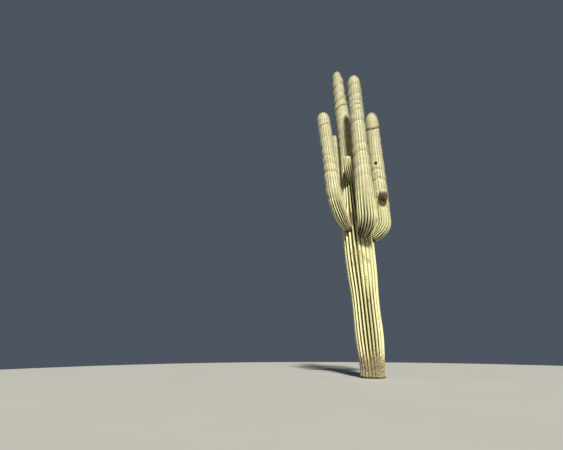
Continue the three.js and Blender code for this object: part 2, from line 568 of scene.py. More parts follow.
@dataclass(frozen=True)
class BarkFinish:
    """Rough scar tissue and cork, pale on its lumps and dark in its cracks.

    Attributes:
        name: The material's name.
        pale: Colour of its lumps.
        dark: Colour of its cracks.
    """

    name: str
    pale: tuple
    dark: tuple

    def build(self) -> bpy.types.Material:
        """Makes the material.

        Returns:
            The material, with its nodes.
        """
        graph = Graph(self.name)
        place = graph.place()
        lumps = graph.noise(place, 70, 5, 0.65)
        cloud = graph.noise(place, 14, 2)
        graph.feed("Base Color", graph.mix(self.dark, self.pale, lumps.ease(0.38, 0.62) * (0.5 + cloud)))
        graph.feed("Roughness", 0.7 + lumps * 0.25)
        graph.bump(lumps, 0.8, 0.006)
        return graph.material


# Each skin's groove colour is painted shade between the ribs
TRUNK_SKIN = SkinFinish("trunk_skin", crest=tone(240, 233, 182), flank=tone(160, 158, 94),
                        groove=tone(44, 46, 24), patch=tone(150, 143, 90), young=tone(212, 207, 166),
                        crease_shade=tone(140, 135, 94), patchiness=0.18,
                        cork_pale=tone(178, 161, 126), cork_dark=tone(98, 81, 58))
# The arms' cork colours are dark enough to paint shade under the elbows and in the waists
ARM_SKIN = SkinFinish("arm_skin", crest=tone(242, 236, 184), flank=tone(160, 159, 96),
                      groove=tone(36, 37, 19), patch=tone(156, 148, 94), young=tone(214, 209, 166),
                      crease_shade=tone(144, 139, 98), patchiness=0.1,
                      cork_pale=tone(88, 70, 44), cork_dark=tone(22, 15, 9))
BUD_SKIN = SkinFinish("bud_skin", crest=tone(130, 114, 72), flank=tone(66, 54, 30),
                      groove=tone(24, 19, 10), patch=tone(92, 76, 44), young=tone(230, 220, 182),
                      crease_shade=tone(150, 132, 92), patchiness=0.1)
SPINE_STRAW = HardFinish("spine_straw", tone(232, 224, 188), 0.4, 300, 0.0004)
SPINE_GREY = HardFinish("spine_grey", tone(184, 178, 158), 0.5, 300, 0.0004)
SPINE_BROWN = HardFinish("spine_brown", tone(140, 112, 78), 0.45, 300, 0.0004)
FELT = HardFinish("areole_felt", tone(176, 162, 124), 0.8, 240, 0.0015)
SCAR = BarkFinish("scar_tissue", tone(168, 122, 84), tone(64, 38, 26))


class Tint(enum.IntEnum):
    """Plain colour of a cushion's spines, by its number among the spine materials."""

    STRAW = 0
    GREY = 1
    BROWN = 2


def deselect() -> None:
    """Clears the selection, so that an operator reaches only what is picked next."""
    for each in bpy.context.selected_objects:
        each.select_set(False)
    bpy.context.view_layer.objects.active = None


def pick(piece: bpy.types.Object) -> None:
    """Makes one object the only selected one, and the active one.

    Args:
        piece: The object.
    """
    deselect()
    piece.select_set(True)
    bpy.context.view_layer.objects.active = piece


def apply_modifier(piece: bpy.types.Object, kind: str, **settings: object) -> None:
    """Adds a modifier to an object, sets it and applies it.

    Args:
        piece: The object.
        kind: The modifier's type.
        **settings: Its properties.
    """
    pick(piece)
    bpy.ops.object.modifier_add(type=kind)
    modifier = piece.modifiers[-1]
    for name, value in settings.items():
        setattr(modifier, name, value)
    bpy.ops.object.modifier_apply(modifier=modifier.name)


def read_rows(items: bpy.types.bpy_prop_collection, name: str, width: int) -> np.ndarray:
    """Reads one property of many items.

    Args:
        items: The items, such as a mesh's points.
        name: The property's name.
        width: How many numbers it holds.

    Returns:
        The numbers, one row for each item.
    """
    values = np.empty(width * len(items), dtype=np.float32)
    items.foreach_get(name, values)
    return values.reshape(-1, width).astype(float)


def mesh_places(mesh: bpy.types.Mesh) -> np.ndarray:
    """Places of a mesh's points, one row each."""
    return read_rows(mesh.vertices, "co", 3)


def read_attribute(mesh: bpy.types.Mesh, name: str) -> np.ndarray:
    """Reads back the number that a mesh holds at each of its points."""
    return read_rows(mesh.attributes[name].data, "value", 1)[:, 0]


def weigh(piece: bpy.types.Object, name: str, weights: np.ndarray) -> None:
    """Gives each point of an object a weight in a new vertex group.

    Args:
        piece: The object.
        name: The group's name.
        weights: Weight of each point, from 0 to 1.
    """
    group = piece.vertex_groups.new(name=name)
    levels = np.round(weights * WEIGHT_STEPS).astype(int)
    for level in np.unique(levels[levels > 0]):
        group.add(np.flatnonzero(levels == level).tolist(), float(level / WEIGHT_STEPS), "REPLACE")


def write_attribute(mesh: bpy.types.Mesh, name: str, values: np.ndarray) -> None:
    """Stores a number at each point of a mesh."""
    layer = mesh.attributes.get(name) or mesh.attributes.new(name, "FLOAT", "POINT")
    layer.data.foreach_set("value", values.astype(np.float32))


def mesh_from_arrays(name: str, points: np.ndarray, faces: np.ndarray,
                     slots: np.ndarray) -> bpy.types.Object:
    """Joins many small closed shapes into one object.

    Args:
        name: The object's name.
        points: Places, one row each.
        faces: Three point numbers for each face.
        slots: Number of each face's material.

    Returns:
        The object, linked to the scene.
    """
    mesh = bpy.data.meshes.new(name)
    mesh.vertices.add(len(points))
    mesh.vertices.foreach_set("co", points.astype(np.float32).ravel())
    mesh.loops.add(faces.size)
    mesh.loops.foreach_set("vertex_index", faces.astype(np.int32).ravel())
    mesh.polygons.add(len(faces))
    mesh.polygons.foreach_set("loop_start", np.arange(0, faces.size, 3, dtype=np.int32))
    mesh.polygons.foreach_set("material_index", slots.astype(np.int32))
    mesh.update(calc_edges=True)
    piece = bpy.data.objects.new(name, mesh)
    bpy.context.collection.objects.link(piece)
    return piece


@dataclass(frozen=True)
class SpineHabit:
    """How a stem bears its spines, on old growth and on young.

    Attributes:
        old_gap: Between cushions along a rib of old growth.
        young_gap: Between cushions near the tip.
        fan: Spines that lie round a cushion.
        centre: Longer spines that stand out of its middle.
        length: Length of a fan spine.
        young_from: Share of the stem's length where growth starts to be young.
        young_full: Share where it is as young as it gets.
        brown: Share of cushions whose spines are brown.
        grey: Share of cushions whose spines are grey.
        jitter: How far a fan spine strays from its even place, as a share of the step between two.
        fan_lift: Least and most angle of a fan spine from the skin, in degrees.
        centre_lift: Least and most angle of a centre spine from the skin, in degrees.
        centre_swing: How far a centre spine swings from pointing down, in radians.
        lengths: Least and most length of a spine, as shares of the length above.
        centre_stretch: How much longer a centre spine is.
        age_lengths: Share of the length on old growth, and what young growth adds.
        crease_loss: Share of the length lost deep in a crease.
        root: How far a spine's root sits out from its cushion's middle, and how high over the skin.
        radius: A spine's radius at its root.
        pad: Half the height and width of a felt pad, its height over the skin and its depth under it.
    """

    old_gap: float
    young_gap: float
    fan: int
    centre: int
    length: float
    young_from: float
    young_full: float
    brown: float
    grey: float
    jitter: float = 0.35
    fan_lift: tuple[float, float] = (10, 38)
    centre_lift: tuple[float, float] = (42, 74)
    centre_swing: float = 1.6
    lengths: tuple[float, float] = (0.75, 1.2)
    centre_stretch: float = 1.2
    age_lengths: tuple[float, float] = (0.4, 0.75)
    crease_loss: float = 0.55
    root: tuple[float, float] = (0.003, 0.001)
    radius: float = 0.0011
    pad: tuple[float, float, float, float] = (0.0075, 0.0055, 0.0035, 0.003)


TRUNK_SPINES = SpineHabit(old_gap=0.031, young_gap=0.020, fan=8, centre=2, length=0.026,
                          young_from=0.42, young_full=0.72, brown=0.06, grey=0.34)
ARM_SPINES = SpineHabit(old_gap=0.028, young_gap=0.019, fan=8, centre=2, length=0.030,
                        young_from=0.1, young_full=0.4, brown=0.05, grey=0.2)
LEFT_SPINES = replace(ARM_SPINES, young_from=0.18, young_full=0.37)
SMALL_SPINES = SpineHabit(old_gap=0.028, young_gap=0.020, fan=7, centre=2, length=0.024,
                          young_from=0.55, young_full=0.95, brown=0.08, grey=0.25)
BUD_SPINES = SpineHabit(old_gap=0.026, young_gap=0.014, fan=5, centre=1, length=0.013,
                        young_from=0.45, young_full=0.95, brown=0.7, grey=0.1)


@dataclass(frozen=True)
class Scar:
    """A corky patch of skin.

    Attributes:
        place: Its middle.
        width: Half its width.
        height: Half its height.
        strength: How corky it is, from 0 to 1.
    """

    place: tuple[float, float, float]
    width: float
    height: float
    strength: float

    def over(self, places: np.ndarray) -> np.ndarray:
        """How corky it makes each place."""
        offset = (places - np.array(self.place)) / np.array([self.width, self.width, self.height])
        return self.strength * fade(np.linalg.norm(offset, axis=1), 1, 0.5, 1.2)


@dataclass(frozen=True)
class Waist:
    """A crease between two years of growth, which may dip on one side.

    Attributes:
        at: Its distance along the stem.
        depth: Its depth, as a share of the stem's radius.
        half: Half its width.
        dip: How far it dips below its own middle.
        turn: Where round the upright column it dips, in degrees.
    """

    at: float
    depth: float
    half: float
    dip: float = 0.0
    turn: float = 0.0

    def reach(self, distance: np.ndarray) -> np.ndarray:
        """Share of its depth that the column gives up at distances along the stem."""
        inner, outer = self.dip + WAIST_INNER * self.half, self.dip + WAIST_OUTER * self.half
        return self.depth * (1 - smoothstep(np.abs(distance - self.at), inner, outer))

    def crease(self, places: np.ndarray) -> np.ndarray:
        """How deep in the crease places on the upright column lie, from 0 to 1.

        Args:
            places: Places on the upright column.

        Returns:
            A share for each place.
        """
        turn = turn_of(places) - math.radians(self.turn)
        offset = places[:, 2] + self.dip * np.cos(turn) - self.at
        return np.exp(-((offset / self.half) ** 2))

    def stops(self) -> list[float]:
        """Distances along the stem where it needs a ring of the cage.

        Returns:
            The distances, from the root up.
        """
        span = self.dip + WAIST_OUTER * self.half
        count = 2 * math.ceil(span / (WAIST_INNER * self.half))
        return list(np.linspace(self.at - span, self.at + span, count + 1))


@dataclass(frozen=True)
class Worn:
    """A stretch on one side of a stem where the ribs are shallow and pale.

    Attributes:
        at: Distance of its middle along the stem.
        half: Half its length.
        turn: Where round the upright column it lies, in degrees.
        width: Half its width, in degrees.
        share: How much of the grooves' depth is filled.
    """

    at: float
    half: float
    turn: float
    width: float
    share: float

    def over(self, places: np.ndarray) -> np.ndarray:
        """How worn the ribs are at places on the upright column.

        Args:
            places: Places on the upright column.

        Returns:
            How much of the grooves' depth is filled there, from 0 to 1.
        """
        turn = turn_of(places) - math.radians(self.turn)
        away = np.degrees(np.abs(np.arctan2(np.sin(turn), np.cos(turn))))
        beside = fade(away, self.width, 0.5, 1.4)
        return self.share * beside * fade(np.abs(places[:, 2] - self.at), self.half, 0.5, 1.3)


@dataclass(frozen=True)
class NestHole:
    """A bird's nest hole through the skin, with its callus rim.

    Attributes:
        place: Middle of its mouth, on the skin.
        outward: Level direction that it faces, in degrees from +X towards +Y.
        width: Half its width.
        height: Half its height.
        depth: How far it reaches in.
        rim_size: Size of the rim's middle line, as a share of the hole's.
        rim_thickness: How far the rim is stretched outwards, as a share of the hole's half width.
        lump_size: Size of the rim's lumps.
        lump_height: Height of the rim's lumps.
    """

    place: tuple[float, float, float]
    outward: float
    width: float = 0.036
    height: float = 0.043
    depth: float = 0.095
    rim_size: float = 1.12
    rim_thickness: float = 0.9
    lump_size: float = 0.02
    lump_height: float = 0.012

    def settle(self, piece: bpy.types.Object, stretch: tuple[float, float, float]) -> None:
        """Stretches a shape that was made round the origin, turns it and moves it to the hole.

        Args:
            piece: The object, whose Z axis becomes the hole's.
            stretch: Its size along the hole's width, its height and its depth.
        """
        pick(piece)
        piece.scale = stretch
        piece.rotation_euler = (math.radians(90), 0, math.radians(self.outward + 90))
        piece.location = self.place
        bpy.ops.object.transform_apply(location=True, rotation=True, scale=True)

    def cut(self, skin: bpy.types.Object, scar: bpy.types.Material) -> None:
        """Cuts the cavity out of a skin.

        Args:
            skin: The skin, already bent.
            scar: Material of the cavity's inside.
        """
        deselect()
        bpy.ops.mesh.primitive_uv_sphere_add(segments=28, ring_count=16, radius=1)
        cavity = bpy.context.object
        self.settle(cavity, (self.width, self.height, self.depth))
        cavity.data.materials.append(scar)
        apply_modifier(skin, "BOOLEAN", operation="DIFFERENCE", object=cavity, solver="EXACT",
                       material_mode="TRANSFER")
        bpy.data.objects.remove(cavity)

    def build_rim(self, scar: bpy.types.Material) -> None:
        """Builds the callus round the hole's mouth.

        Args:
            scar: Material of the callus.
        """
        deselect()
        bpy.ops.mesh.primitive_torus_add(major_radius=1.0, minor_radius=0.3, major_segments=36,
                                         minor_segments=10)
        rim = bpy.context.object
        rim.name = rim.data.name = "nest_rim"
        size = self.rim_size
        self.settle(rim, (self.width * size, self.height * size, self.width * self.rim_thickness))
        apply_modifier(rim, "SUBSURF", levels=1, render_levels=1)
        lumps = bpy.data.textures.new("rim_lumps", "CLOUDS")
        lumps.noise_scale = self.lump_size
        apply_modifier(rim, "DISPLACE", texture=lumps, strength=self.lump_height, mid_level=0.5)
        bpy.ops.object.shade_smooth()
        rim.data.materials.append(scar)
        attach(rim, BODY)
        log.info("%s: %d faces", rim.name, len(rim.data.polygons))


@dataclass
class Cushions:
    """Spine cushions of a stem, one row each: place, outward and upward directions, youth and crease."""

    place: np.ndarray
    outward: np.ndarray
    upward: np.ndarray
    youth: np.ndarray
    crease: np.ndarray

    def keep(self, chosen: np.ndarray) -> "Cushions":
        """The cushions that a test picks."""
        return Cushions(self.place[chosen], self.outward[chosen], self.upward[chosen], self.youth[chosen],
                        self.crease[chosen])


@dataclass
class Stem:
    """A ribbed stem: its skin, its spine cushions and its spines.

    Attributes:
        name: Plain name of the stem.
        nodes: The frame's solids that its skin stands for.
        slot: Name of its skin's material slot; not used.
        path: Its middle line.
        ribs: Number of ribs.
        groove: Depth of the grooves, as a share of the crest radius.
        dome: Length of the rounded tip.
        profile: Distance along the stem and crest radius.
        start: Distance from the root where the mesh begins, inside what bears it.
        ring_gap: Farthest between two rings of the cage.
        finish: Its skin's finish.
        habit: How it bears spines.
        seed: Seed of its random draws.
        waists: Its narrow creases between years of growth.
        parts: Into how many pieces its spines are split.
        foot: Height of the corky foot, or 0 where it has none.
        cover: How far the skin lies under the frame's outline, which the spines fill.
        swell: Height of the bulges that each spell of young growth left.
        under: How much cork and painted shade it has under its elbow.
        scars: Its corky patches.
        worn: Its stretches of shallow ribs.
        creases: Distance and depth, from 0 to 1, of its highest creases of growth, where they aren't drawn.
        tilt: How far its creases of growth dip on their low side.
        low_side: Where round the upright column that side is, in degrees.
        nest: Its nest hole.
        tip_groove: Share of the grooves' depth that is left at the tip.
        young_groove: Share of the grooves' depth that is left on young growth.
        least_band: Least distance between two drawn creases of growth.
        most_band: Most distance between two drawn creases of growth.
        cushions: Its spine cushions, once its skin is built.
    """

    name: str
    nodes: tuple[str, ...]
    slot: str
    path: Path
    ribs: int
    groove: float
    dome: float
    profile: Profile
    start: float
    ring_gap: float
    finish: SkinFinish
    habit: SpineHabit
    seed: int
    waists: tuple[Waist, ...] = ()
    parts: int = 1
    foot: float = 0.0
    cover: float = 0.009
    swell: float = 0.028
    under: float = 0.85
    scars: tuple[Scar, ...] = ()
    worn: tuple[Worn, ...] = ()
    creases: tuple[tuple[float, float], ...] = ()
    tilt: float = 0.03
    low_side: float = 0.0
    nest: NestHole | None = None
    tip_groove: float = 0.4
    young_groove: float = 0.12
    least_band: float = 0.2
    most_band: float = 0.42
    cushions: Cushions | None = field(init=False, default=None)

    def __post_init__(self) -> None:
        """Works out the skin's own length, the stem's random source and its bands of growth."""
        self.length = self.path.length - TIP_COVERS * self.cover
        self.random = np.random.default_rng(self.seed)
        count = math.ceil(self.length / self.least_band) + 1
        bands = np.cumsum(self.random.uniform(self.least_band, self.most_band, count))
        highest = self.length - self.dome * TOP_CREASE
        if self.creases:
            highest = self.creases[0][0] - self.least_band
        clear = bands < highest
        for waist in self.waists:
            clear &= np.abs(bands - waist.at) > waist.dip + WAIST_CLEAR * waist.half
        drawn = [(at, self.random.uniform(*DRAWN_CREASES)) for at in bands[clear]]
        rows = np.array([(0.0, PLAIN_CREASE), *drawn, *self.creases])
        # The last band ends as far past the tip as it starts before it, so the tip is its widest place
        self.bands = np.append(rows[:, 0], 2 * self.length - rows[-1, 0])
        self.depths = np.append(rows[:, 1], PLAIN_CREASE)

    def youth(self, distance: np.ndarray) -> np.ndarray:
        """How young the growth is at distances along the stem, from 0 to 1."""
        return smoothstep(distance / self.length, self.habit.young_from, self.habit.young_full)

    def flesh_radius(self, distance: np.ndarray) -> np.ndarray:
        """Radius of the rib crests at distances along the stem, waists left aside."""
        bulge = MEAN_BULGE * self.swell * self.youth(distance) + SLOW_SWELL
        return (smooth_along(self.profile, distance) - self.cover - bulge) * self.rounding(distance)

    def rounding(self, distance: np.ndarray) -> np.ndarray:
        """Share of its full radius that the stem has at distances along it, less than 1 only in the dome."""
        into = np.maximum(distance - (self.length - self.dome), 0) / self.dome
        return np.sqrt(np.maximum(1 - into**2, 0))

    def crest_radius(self, distance: np.ndarray) -> np.ndarray:
        """Radius of the column's rib crests, with room round each waist that the relief fills.

        Args:
            distance: Distances along the stem.

        Returns:
            A radius for each distance.
        """
        radius = self.flesh_radius(distance)
        for waist in self.waists:
            radius = radius * (1 - waist.reach(distance))
        return radius

    def ring_stops(self) -> np.ndarray:
        """Distances along the stem where its cage has a ring.

        Returns:
            The distances, from the start up, without the tip itself.
        """
        shoulder = self.length - self.dome
        fixed = [self.start, shoulder] + [stop for waist in self.waists for stop in waist.stops()]
        fixed += [shoulder + self.dome * math.sin(math.radians(angle)) for angle in DOME_ANGLES]
        fixed += [self.foot * share for share in FOOT_SHARES if self.foot]
        stops, at = list(fixed), self.start
        old, young = RING_SHARES
        while at < shoulder:
            if min(abs(at - stop) for stop in fixed) > self.ring_gap * LEAST_RING_SHARE:
                stops.append(at)
            at += self.ring_gap * (old + (young - old) * float(self.youth(np.array(at))))
        kept = [self.start]
        for stop in sorted(stops):
            if stop - kept[-1] > LEAST_RING_GAP:
                kept.append(stop)
        return np.array(kept)

    def model_column(self) -> bpy.types.Object:
        """Models the skin as an upright column, ring by ring.

        Returns:
            The column with its ribs, in object mode.
        """
        stops = self.ring_stops()
        radii = self.crest_radius(stops)
        # The smoothed skin cuts each bend of its cage by a sixth
        radii[1:-1] -= np.diff(radii, 2) / 6
        deselect()
        bpy.ops.mesh.primitive_circle_add(vertices=POINTS_PER_RIB * self.ribs, radius=radii[0],
                                          fill_type="NGON", location=(0, 0, stops[0]))
        column = bpy.context.object
        column.name = column.data.name = f"{self.name}_skin"
        bpy.ops.object.transform_apply(location=True, rotation=False, scale=False)
        bpy.ops.object.mode_set(mode="EDIT")
        bpy.ops.mesh.select_mode(type="VERT")
        bpy.ops.mesh.select_all(action="SELECT")
        for k in range(1, len(stops)):
            step = float(stops[k] - stops[k - 1])
            bpy.ops.mesh.extrude_region_move(TRANSFORM_OT_translate={"value": (0, 0, step)})
            share = float(radii[k] / radii[k - 1])
            bpy.ops.transform.resize(value=(share, share, 1), center_override=(0, 0, float(stops[k])))
        last = float(self.length - stops[-1])
        bpy.ops.mesh.extrude_region_move(TRANSFORM_OT_translate={"value": (0, 0, last)})
        bpy.ops.mesh.merge(type="CENTER")
        self.cut_grooves(column, stops)
        bpy.ops.mesh.select_all(action="SELECT")
        bpy.ops.mesh.normals_make_consistent(inside=False)
        bpy.ops.object.mode_set(mode="OBJECT")
        return column

    def rib_phase(self, places: np.ndarray) -> np.ndarray:
        """Which of a rib's points each place is: 0 its crest, 2 its groove, 1 and 3 its flanks."""
        turn = turn_of(places) / (2 * math.pi)
        return np.round(turn * POINTS_PER_RIB * self.ribs).astype(int) % POINTS_PER_RIB

    def cut_grooves(self, column: bpy.types.Object, stops: np.ndarray) -> None:
        """Draws the flanks and grooves of each ring in, and sharpens the grooves' lines.

        Args:
            column: The column, in edit mode.
            stops: Height of each ring.
        """
        shape = bmesh.from_edit_mesh(column.data)
        places = np.array([point.co for point in shape.verts])
        phase = self.rib_phase(places)
        shoulder = self.length - self.dome
        tip = 1 - (1 - self.tip_groove) * smoothstep(stops, shoulder - self.dome, self.length)
        ease = tip * (1 - (1 - self.young_groove) * self.youth(stops))
        for stop, depth in zip(stops, self.groove * ease):
            ring = np.abs(places[:, 2] - stop) < SAME_HEIGHT
            for phases, move in CAGE_SHARES.items():
                share = 1 + move * depth
                self.pick_points(column, np.flatnonzero(np.isin(phase, phases) & ring))
                bpy.ops.transform.resize(value=(share, share, 1), center_override=(0, 0, float(stop)))
        below_tip = places[:, 2] < self.length - SAME_HEIGHT
        self.pick_points(column, np.flatnonzero((phase == 2) & below_tip))
        self.drop_level_edges(column)
        bpy.ops.transform.edge_crease(value=GROOVE_SHARPNESS)

    @staticmethod
    def pick_points(column: bpy.types.Object, numbers: np.ndarray) -> None:
        """Selects points of an object in edit mode by their numbers.

        Args:
            column: The object.
            numbers: The points' numbers.
        """
        bpy.ops.mesh.select_all(action="DESELECT")
        shape = bmesh.from_edit_mesh(column.data)
        shape.verts.ensure_lookup_table()
        for number in numbers:
            shape.verts[number].select = True
        shape.select_flush_mode()
        bmesh.update_edit_mesh(column.data, loop_triangles=False, destructive=False)

    @staticmethod
    def drop_level_edges(column: bpy.types.Object) -> None:
        """Leaves only the upright edges of a selection in edit mode.

        Args:
            column: The object.
        """
        shape = bmesh.from_edit_mesh(column.data)
        for edge in shape.edges:
            low, high = edge.verts[0].co, edge.verts[1].co
            if edge.select and abs(low.z - high.z) < SAME_HEIGHT:
                edge.select = False

    def roughen(self, column: bpy.types.Object) -> None:
        """Rounds a column's ribs and gives its flesh slow swells and, at a corky foot, lumps.

        Args:
            column: The column, in object mode.
        """
        apply_modifier(column, "SUBSURF", levels=2, render_levels=2)
        places = mesh_places(column.data)
        height = self.swell * self.band_bulge(places) * self.youth(places[:, 2]) + self.slow_swell(places)
        relief = height * self.rounding(places[:, 2]) + self.fill(places)
        most = float(relief.max())
        weigh(column, "relief", relief / most)
        apply_modifier(column, "CAST", cast_type="CYLINDER", factor=most / FAR_CYLINDER, radius=0,
                       size=FAR_CYLINDER, use_radius_as_size=False, use_z=False, vertex_group="relief")
        if self.foot:
            lumps = bpy.data.textures.new(f"{self.name}_lumps", "CLOUDS")
            lumps.noise_scale, lumps.noise_depth = FOOT_LUMP_SIZE, 4
            weigh(column, "foot", fade(places[:, 2], self.foot, 0.4, 1.2))
            apply_modifier(column, "DISPLACE", texture=lumps, strength=FOOT_LUMP_HEIGHT, mid_level=0.5,
                           vertex_group="foot")
            self.flatten_foot(column)

    def worn_share(self, places: np.ndarray) -> np.ndarray:
        """How worn the ribs are at places on the upright column, from 0 to 1.

        Args:
            places: Places on the upright column.

        Returns:
            The share of the most worn stretch at each place.
        """
        share = np.zeros(len(places))
        for worn in self.worn:
            share = np.maximum(share, worn.over(places))
        return share

    def fill(self, places: np.ndarray) -> np.ndarray:
        """Height of the flesh beside the waists' creases and in the grooves of worn stretches.

        Args:
            places: Places on the upright column.

        Returns:
            A height for each place.
        """
        radius = self.flesh_radius(places[:, 2])
        hollow = 0.5 - 0.5 * np.cos(self.ribs * turn_of(places))
        height = self.groove * radius * hollow * self.worn_share(places)
        for waist in self.waists:
            height = height + radius * waist.reach(places[:, 2]) * (1 - waist.crease(places))
        return height

    def slow_swell(self, places: np.ndarray) -> np.ndarray:
        """Slow rises and hollows of the flesh, as a height over each place of the upright column.

        Args:
            places: Places on the upright column.

        Returns:
            A height for each place.
        """
        turn, height = turn_of(places), places[:, 2]
        waves = np.sin(turn + 2.3 * height + self.seed) + np.sin(2 * turn - 5.1 * height + 2 * self.seed)
        return SLOW_SWELL * (1 + waves / 2)

    def band_bulge(self, places: np.ndarray) -> np.ndarray:
        """How far each place bulges between two creases of growth, from 0 to 1.

        Args:
            places: Places on the upright column.

        Returns:
            A share for each place.
        """
        turn, height = turn_of(places), places[:, 2]
        tilt = self.tilt * np.cos(turn - math.radians(self.low_side))
        level = height + tilt
        for size, around, along in CREASE_WAVES:
            level = level + size * np.sin(around * turn + along * height)
        above = np.clip(np.searchsorted(self.bands, level), 1, len(self.bands) - 1)
        low, high = self.bands[above - 1], self.bands[above]
        share = np.clip((level - low) / (high - low), 0, 1)
        depth = self.depths[above - 1] * (1 - share) + self.depths[above] * share
        return 1 - depth * (1 - np.sqrt(4 * share * (1 - share)))

    @staticmethod
    def flatten_foot(column: bpy.types.Object) -> None:
        """Sets the foot's cut level at the ground again.

        Args:
            column: The trunk's skin, upright or bent.
        """
        places = mesh_places(column.data)
        places[:, 2] = np.where(places[:, 2] < CUT_HEIGHT, 0, places[:, 2])
        column.data.vertices.foreach_set("co", places.astype(np.float32).ravel())
        column.data.update()

    def note_ribs(self, column: bpy.types.Object) -> None:
        """Stores each point's place on its rib and its distance along the stem.

        Args:
            column: The column, still upright.
        """
        places = mesh_places(column.data)
        crest = np.cos(self.ribs * turn_of(places))
        worn = (1 - crest) * WORN_PALENESS * self.worn_share(places)
        write_attribute(column.data, "crest", crest + worn)
        write_attribute(column.data, "along", places[:, 2])
        write_attribute(column.data, "youth", self.youth(places[:, 2]))
        write_attribute(column.data, "band", self.band_bulge(places))
        crease = np.zeros(len(places))
        for waist in self.waists:
            # Deep waist creases get cork colour, which also paints the shade in the crease
            share = smoothstep(waist.depth, *CORK_AND_SHADE_WAISTS)
            crease = np.maximum(crease, share * waist.crease(places) ** 2)
        write_attribute(column.data, "cork", crease)

    def note_cork_and_shade(self, skin: bpy.types.Object) -> None:
        """Stores how corky each point is: at the foot, the neck and on scars, and in waists and under the
        elbow, where the cork is also painted shade.

        Args:
            skin: The skin, already bent.
        """
        places, normals = mesh_places(skin.data), read_rows(skin.data.vertices, "normal", 3)
        along = read_attribute(skin.data, "along")
        cork = read_attribute(skin.data, "cork")
        if self.foot:
            cork = np.maximum(cork, FOOT_CORK * fade(along, self.foot, 0, 3))
        elbow = self.path.elbow_length
        if elbow:
            # Skin that faces the ground under the elbow gets dark cork colour, which is painted shade as
            # well as cork
            under = smoothstep(-normals[:, 2], *UNDERSIDE_CORK_AND_SHADE) * fade(along, elbow, 0.6, 1)
            full, gone = (self.start + end for end in NECK_ENDS)
            neck = NECK_CORK * (1 - smoothstep(along, full, gone))
            cork = np.maximum(cork, np.maximum(self.under * under, neck))
        for scar in self.scars:
            cork = np.maximum(cork, scar.over(places))
        write_attribute(skin.data, "cork", cork)

    def bend(self, straight: bpy.types.Object) -> None:
        """Bends an upright object along the stem's middle line.

        Args:
            straight: The object.
        """
        curve = bpy.data.curves.new(f"{self.name}_line", "CURVE")
        curve.dimensions, curve.twist_mode = "3D", "MINIMUM"
        spline = curve.splines.new("POLY")
        distances, points = self.path.line()
        spline.points.add(len(points) - 1)
        spline.points.foreach_set("co", np.c_[points, np.ones(len(points))].astype(np.float32).ravel())
        guide = bpy.data.objects.new(f"{self.name}_guide", curve)
        bpy.context.collection.objects.link(guide)
        bpy.context.view_layer.update()
        apply_modifier(straight, "CURVE", object=guide, deform_axis="POS_Z")
        bpy.data.objects.remove(guide)
        bpy.data.curves.remove(curve)

    def cushion_stops(self, rib: int) -> list[float]:
        """Distances of the spine cushions along one rib.

        Args:
            rib: Number of the rib, as fewer ribs carry spines where they crowd at the tip.

        Returns:
            The distances, from the root up.
        """
        shoulder = self.length - self.dome
        stops, at = [], self.start + self.random.uniform(0, self.habit.old_gap)
        surface = self.length + self.dome * DOME_ARC
        while at < surface:
            youth = float(self.youth(np.array(at)))
            gap = self.habit.old_gap * (1 - youth) + self.habit.young_gap * youth
            past = (at - shoulder) / (surface - shoulder)
            stop = at if past <= 0 else shoulder + self.dome * math.sin(past * math.pi / 2)
            room = 2 * math.pi * float(self.crest_radius(np.array(stop))) / self.ribs
            if any(room > least and rib % every == 0 for least, every in CROWDING):
                stops.append(stop)
            at += gap * self.random.uniform(*GAP_SPREAD)
        return stops

    def place_cushions(self, column: bpy.types.Object) -> None:
        """Places the stem's spine cushions, and follows them through its bend.

        Args:
            column: The column, still upright.
        """
        rows = self.cast_cushions(column)
        markers = bpy.data.meshes.new(f"{self.name}_markers")
        points = np.array([[hit, hit + (out - hit) * MARK_LENGTH, hit + (up - hit) * MARK_LENGTH]
                           for hit, out, up, _ in rows])
        markers.from_pydata(points.reshape(-1, 3).tolist(), [], [])
        marker = bpy.data.objects.new(markers.name, markers)
        bpy.context.collection.objects.link(marker)
        self.bend(marker)
        bent = mesh_places(marker.data).reshape(-1, 3, 3)
        bpy.data.objects.remove(marker)
        bpy.data.meshes.remove(markers)
        outward = bent[:, 1] - bent[:, 0]
        upward = bent[:, 2] - bent[:, 0]
        outward /= np.linalg.norm(outward, axis=1, keepdims=True)
        upward /= np.linalg.norm(upward, axis=1, keepdims=True)
        stops = np.array([row[3] for row in rows])
        youth = self.youth(stops)
        crease = (1 - self.band_bulge(np.array([row[0] for row in rows]))) * youth
        crease = np.maximum(crease, TIP_CREASE * (1 - self.rounding(np.minimum(stops, self.length))))
        cushions = Cushions(bent[:, 0], outward, upward, youth, crease)
        clear = bent[:, 0, 2] > LEAST_CUSHION_HEIGHT
        if self.nest:
            away = np.linalg.norm(bent[:, 0] - np.array(self.nest.place), axis=1)
            clear &= away > self.nest.height * NEST_CLEAR
        self.cushions = cushions.keep(clear)

    def cast_cushions(self, column: bpy.types.Object) -> list[tuple[Vector, Vector, Vector, float]]:
        """Finds where the spine cushions sit on the column's crests.

        Args:
            column: The column, still upright.

        Returns:
            Each cushion's place, points straight outwards and upwards of it, and its distance.
        """
        pick(column)
        tree = BVHTree.FromObject(column, bpy.context.evaluated_depsgraph_get())
        rows = []
        for rib in range(self.ribs):
            turn = 2 * math.pi * rib / self.ribs
            out = Vector((math.cos(turn), math.sin(turn), 0))
            for stop in self.cushion_stops(rib):
                inner = Vector((0, 0, min(stop, self.length - TIP_CLEAR)))
                hit, normal, _, _ = tree.ray_cast(inner, out)
                again = bool(rows) and hit == rows[-1][0]
                if hit is not None and not again:
                    up = (Vector((0, 0, 1)) - normal * normal.z).normalized()
                    rows.append((hit, hit + normal, hit + up, stop))
        return rows

